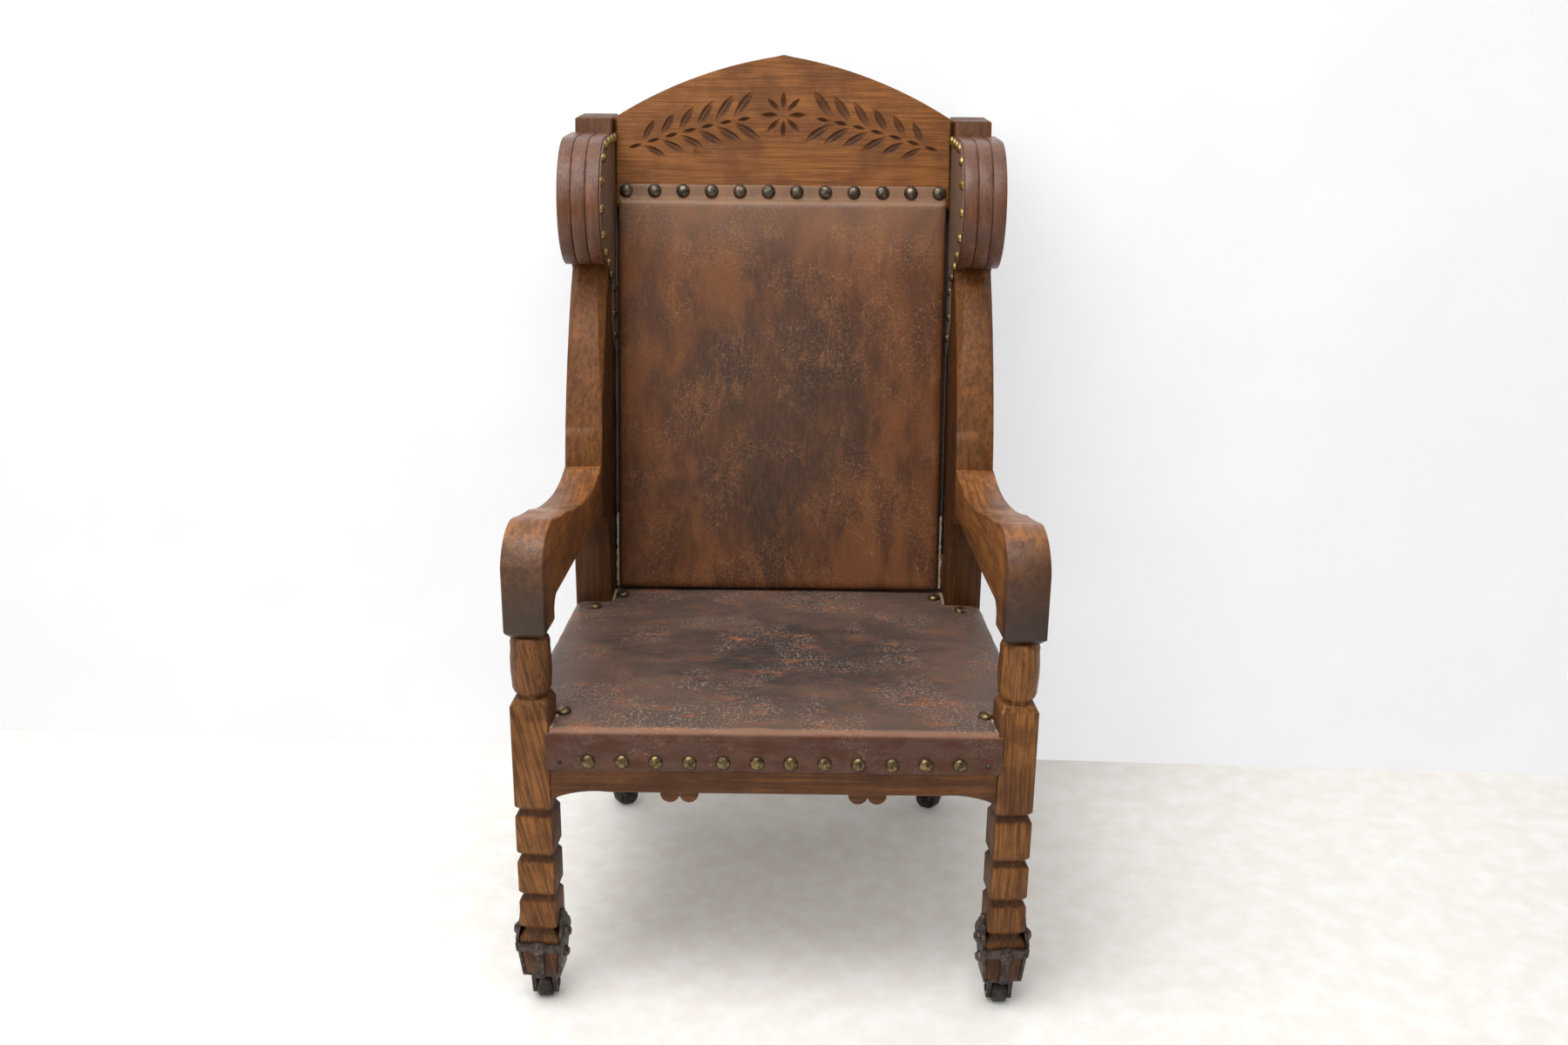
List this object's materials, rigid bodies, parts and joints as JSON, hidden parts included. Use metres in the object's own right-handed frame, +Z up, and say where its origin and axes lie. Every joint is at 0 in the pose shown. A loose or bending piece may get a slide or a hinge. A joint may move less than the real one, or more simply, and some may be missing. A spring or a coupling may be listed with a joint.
{
  "type": "throne chair",
  "caption": "High-backed oak armchair with scroll ears, notched front legs, nailed leather seat and back, and iron shoes on swivel casters.",
  "frame": {"origin": "on the floor under the middle of the whole chair", "axes": "+Z up, +Y to the rear of the chair, +X to the viewer's right as seen from the front"},
  "size_m": [0.7532, 0.7566, 1.3185],
  "materials": {
    "oak": "worn wax polish",
    "leather": "aged, dull sheen",
    "wing_leather": "aged, dull sheen",
    "back_cloth": "aged, dull",
    "nail_brass": "worn, partly bright",
    "webbing": "woven jute",
    "stuffing": "matted hair and fibre",
    "iron": "dark, lightly rusted"
  },
  "bodies": {
    "chair": {"arm_left": "oak", "arm_plug_right": "oak", "arm_right": "oak", "back_bar_left": "oak", "back_bar_right": "oak", "back_bottom_rail": "oak", "back_leather": "leather", "back_outer_cover": "back_cloth", "back_stuffing": "stuffing", "back_top_nails": "nail_brass", "back_webbing": "webbing", "corner_blocks": "oak", "crest_board": "oak", "front_leg_left": "oak", "front_leg_right": "oak", "front_rail": "oak", "outside_back_nails": "nail_brass", "rear_post_left": "oak", "rear_post_right": "oak", "rear_rail": "oak", "scroll_ear_left": "oak", "scroll_ear_right": "oak", "seat_corner_nails": "nail_brass", "seat_front_nails": "nail_brass", "seat_leather": "leather", "seat_side_nails": "nail_brass", "seat_stuffing": "stuffing", "seat_webbing": "webbing", "shoe_bolts_front_left": "iron", "shoe_bolts_front_right": "iron", "shoe_bolts_rear_left": "iron", "shoe_bolts_rear_right": "iron", "shoe_front_left": "iron", "shoe_front_right": "iron", "shoe_rear_left": "iron", "shoe_rear_right": "iron", "side_rail_left": "oak", "side_rail_right": "oak", "wing_leather_left": "wing_leather", "wing_leather_right": "wing_leather", "wing_nails_left": "nail_brass", "wing_nails_right": "nail_brass"},
    "swivel_front_left": {"fork_front_left": "iron", "axle_front_left": "iron"},
    "roller_front_left": {"wheel_front_left": "iron"},
    "swivel_front_right": {"fork_front_right": "iron", "axle_front_right": "iron"},
    "roller_front_right": {"wheel_front_right": "iron"},
    "swivel_rear_left": {"fork_rear_left": "iron", "axle_rear_left": "iron"},
    "roller_rear_left": {"wheel_rear_left": "iron"},
    "swivel_rear_right": {"fork_rear_right": "iron", "axle_rear_right": "iron"},
    "roller_rear_right": {"wheel_rear_right": "iron"}
  },
  "joints": [
    {"name": "caster_turn_front_left", "type": "hinge", "parent": "chair", "child": "swivel_front_left", "pos_m": [-0.334, -0.34129, 0.045], "axis": [0, 0, 1], "continuous": true},
    {"name": "wheel_roll_front_left", "type": "hinge", "parent": "swivel_front_left", "child": "roller_front_left", "pos_m": [-0.334, -0.33429, 0.02], "axis": [1, 0, 0], "continuous": true},
    {"name": "caster_turn_front_right", "type": "hinge", "parent": "chair", "child": "swivel_front_right", "pos_m": [0.334, -0.34129, 0.045], "axis": [0, 0, 1], "continuous": true},
    {"name": "wheel_roll_front_right", "type": "hinge", "parent": "swivel_front_right", "child": "roller_front_right", "pos_m": [0.334, -0.33429, 0.02], "axis": [1, 0, 0], "continuous": true},
    {"name": "caster_turn_rear_left", "type": "hinge", "parent": "chair", "child": "swivel_rear_left", "pos_m": [-0.283, 0.24071, 0.045], "axis": [0, 0, 1], "continuous": true},
    {"name": "wheel_roll_rear_left", "type": "hinge", "parent": "swivel_rear_left", "child": "roller_rear_left", "pos_m": [-0.27805, 0.24566, 0.02], "axis": [0.7071, -0.7071, 0], "continuous": true},
    {"name": "caster_turn_rear_right", "type": "hinge", "parent": "chair", "child": "swivel_rear_right", "pos_m": [0.283, 0.24071, 0.045], "axis": [0, 0, 1], "continuous": true},
    {"name": "wheel_roll_rear_right", "type": "hinge", "parent": "swivel_rear_right", "child": "roller_rear_right", "pos_m": [0.27805, 0.24566, 0.02], "axis": [0.7071, 0.7071, 0], "continuous": true}
  ]
}
